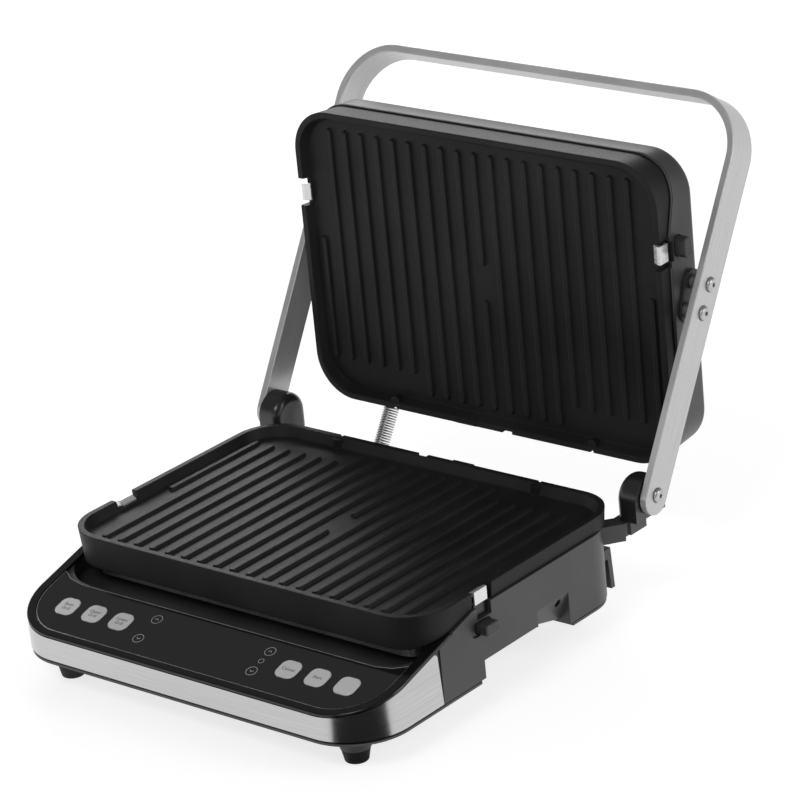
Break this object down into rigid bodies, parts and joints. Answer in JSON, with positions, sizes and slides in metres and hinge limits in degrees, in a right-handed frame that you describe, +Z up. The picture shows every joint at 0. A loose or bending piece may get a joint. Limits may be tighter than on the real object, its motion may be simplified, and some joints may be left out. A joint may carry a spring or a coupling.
{
  "type": "contact grill",
  "caption": "Electric contact grill: ribbed lower and upper plates, a tilting lid on a U-shaped handle, a sloping key panel, plate catches and rubber feet.",
  "frame": {"origin": "on the plane the grill stands on, below the middle of the base", "axes": "+X to the right of a person facing the key panel, +Y towards the hinge at the back, +Z up"},
  "size_m": [0.3286, 0.4166, 0.3045],
  "materials": {
    "base_housing": "fine matte",
    "bottom_cover": "matte",
    "cover_screws": "zinc plated",
    "rubber_feet": "matte rubber",
    "steel_band": "brushed along the band",
    "control_panel": "gloss",
    "panel_frame": "satin gloss",
    "control_board": "board lacquer",
    "lower_grill_plate": "non-stick coating on cast aluminium",
    "lower_heater": "oxidised tube",
    "lower_reflector": "bright sheet",
    "lower_catch_left": "bright sheet",
    "lower_catch_right": "bright sheet",
    "lower_release_button": "satin",
    "hinge_towers": "gloss",
    "hinge_screws": "polished dome",
    "cord_hooks": "matte",
    "cord_gland": "matte rubber",
    "sleeve_gland": "matte",
    "cable_sleeve": "wound wire",
    "handle": "brushed lengthways",
    "arm_spacers": "turned",
    "lid_screws": "polished dome",
    "lid_housing": "fine matte",
    "upper_grill_plate": "non-stick coating on cast aluminium",
    "upper_heater": "oxidised tube",
    "upper_reflector": "bright sheet",
    "upper_catch_left": "bright sheet",
    "upper_catch_right": "bright sheet",
    "upper_release_button": "satin",
    "lid_sleeve_collar": "matte",
    "key_1": "satin silver",
    "key_2": "satin silver",
    "key_3": "satin silver",
    "key_4": "satin silver",
    "key_5": "satin silver",
    "key_6": "satin silver"
  },
  "bodies": {
    "base": {"base_housing": "base_housing", "bottom_cover": "bottom_cover", "cover_screws": "cover_screws", "rubber_feet": "rubber_feet", "steel_band": "steel_band", "control_panel": "control_panel", "panel_frame": "panel_frame", "control_board": "control_board", "lower_grill_plate": "lower_grill_plate", "lower_heater": "lower_heater", "lower_reflector": "lower_reflector", "lower_catch_left": "lower_catch_left", "hinge_towers": "hinge_towers", "hinge_screws": "hinge_screws", "cord_hooks": "cord_hooks", "cord_gland": "cord_gland", "sleeve_gland": "sleeve_gland", "cable_sleeve": "cable_sleeve"},
    "arms": {"handle": "handle", "arm_spacers": "arm_spacers", "lid_screws": "lid_screws"},
    "lid": {"lid_housing": "lid_housing", "upper_grill_plate": "upper_grill_plate", "upper_heater": "upper_heater", "upper_reflector": "upper_reflector", "upper_catch_left": "upper_catch_left", "lid_sleeve_collar": "lid_sleeve_collar"},
    "lower_catch": {"lower_catch_right": "lower_catch_right"},
    "lower_button": {"lower_release_button": "lower_release_button"},
    "upper_catch": {"upper_catch_right": "upper_catch_right"},
    "upper_button": {"upper_release_button": "upper_release_button"},
    "key_1_cap": {"key_1": "key_1"},
    "key_2_cap": {"key_2": "key_2"},
    "key_3_cap": {"key_3": "key_3"},
    "key_4_cap": {"key_4": "key_4"},
    "key_5_cap": {"key_5": "key_5"},
    "key_6_cap": {"key_6": "key_6"}
  },
  "joints": [
    {"name": "lid_hinge", "type": "hinge", "parent": "base", "child": "arms", "pos_m": [0, 0.149, 0.081], "axis": [1, 0, 0], "range_deg": [0, 107.2], "deforming": ["cable_sleeve"]},
    {"name": "lid_tilt", "type": "hinge", "parent": "arms", "child": "lid", "pos_m": [0, 0.21854, 0.19741], "axis": [1, 0, 0], "range_deg": [-17.3, 0]},
    {"name": "lower_release", "type": "slide", "parent": "base", "child": "lower_button", "axis": [-1, 0, 0], "range_m": [0, 0.003], "stiffness_N_per_m": 500, "springref_m": -0.002},
    {"name": "lower_catch_slide", "type": "slide", "parent": "base", "child": "lower_catch", "axis": [1, 0, 0], "range_m": [0, 0.0042]},
    {"name": "upper_release", "type": "slide", "parent": "lid", "child": "upper_button", "axis": [-1, 0, 0], "range_m": [0, 0.003], "stiffness_N_per_m": 500, "springref_m": -0.002},
    {"name": "upper_catch_slide", "type": "slide", "parent": "lid", "child": "upper_catch", "axis": [1, 0, 0], "range_m": [0, 0.0042]},
    {"name": "key_1_press", "type": "slide", "parent": "base", "child": "key_1_cap", "axis": [0, 0.2723, -0.9622], "range_m": [0, 0.0008], "stiffness_N_per_m": 400, "springref_m": -0.0005},
    {"name": "key_2_press", "type": "slide", "parent": "base", "child": "key_2_cap", "axis": [0, 0.2723, -0.9622], "range_m": [0, 0.0008], "stiffness_N_per_m": 400, "springref_m": -0.0005},
    {"name": "key_3_press", "type": "slide", "parent": "base", "child": "key_3_cap", "axis": [0, 0.2723, -0.9622], "range_m": [0, 0.0008], "stiffness_N_per_m": 400, "springref_m": -0.0005},
    {"name": "key_4_press", "type": "slide", "parent": "base", "child": "key_4_cap", "axis": [0, 0.2723, -0.9622], "range_m": [0, 0.0008], "stiffness_N_per_m": 400, "springref_m": -0.0005},
    {"name": "key_5_press", "type": "slide", "parent": "base", "child": "key_5_cap", "axis": [0, 0.2723, -0.9622], "range_m": [0, 0.0008], "stiffness_N_per_m": 400, "springref_m": -0.0005},
    {"name": "key_6_press", "type": "slide", "parent": "base", "child": "key_6_cap", "axis": [0, 0.2723, -0.9622], "range_m": [0, 0.0008], "stiffness_N_per_m": 400, "springref_m": -0.0005}
  ],
  "couplings": [
    {"joint": "lid_tilt", "follows": "lid_hinge", "ratio": -0.16},
    {"joint": "lower_catch_slide", "follows": "lower_release", "ratio": 1.3333},
    {"joint": "upper_catch_slide", "follows": "upper_release", "ratio": 1.3333}
  ]
}
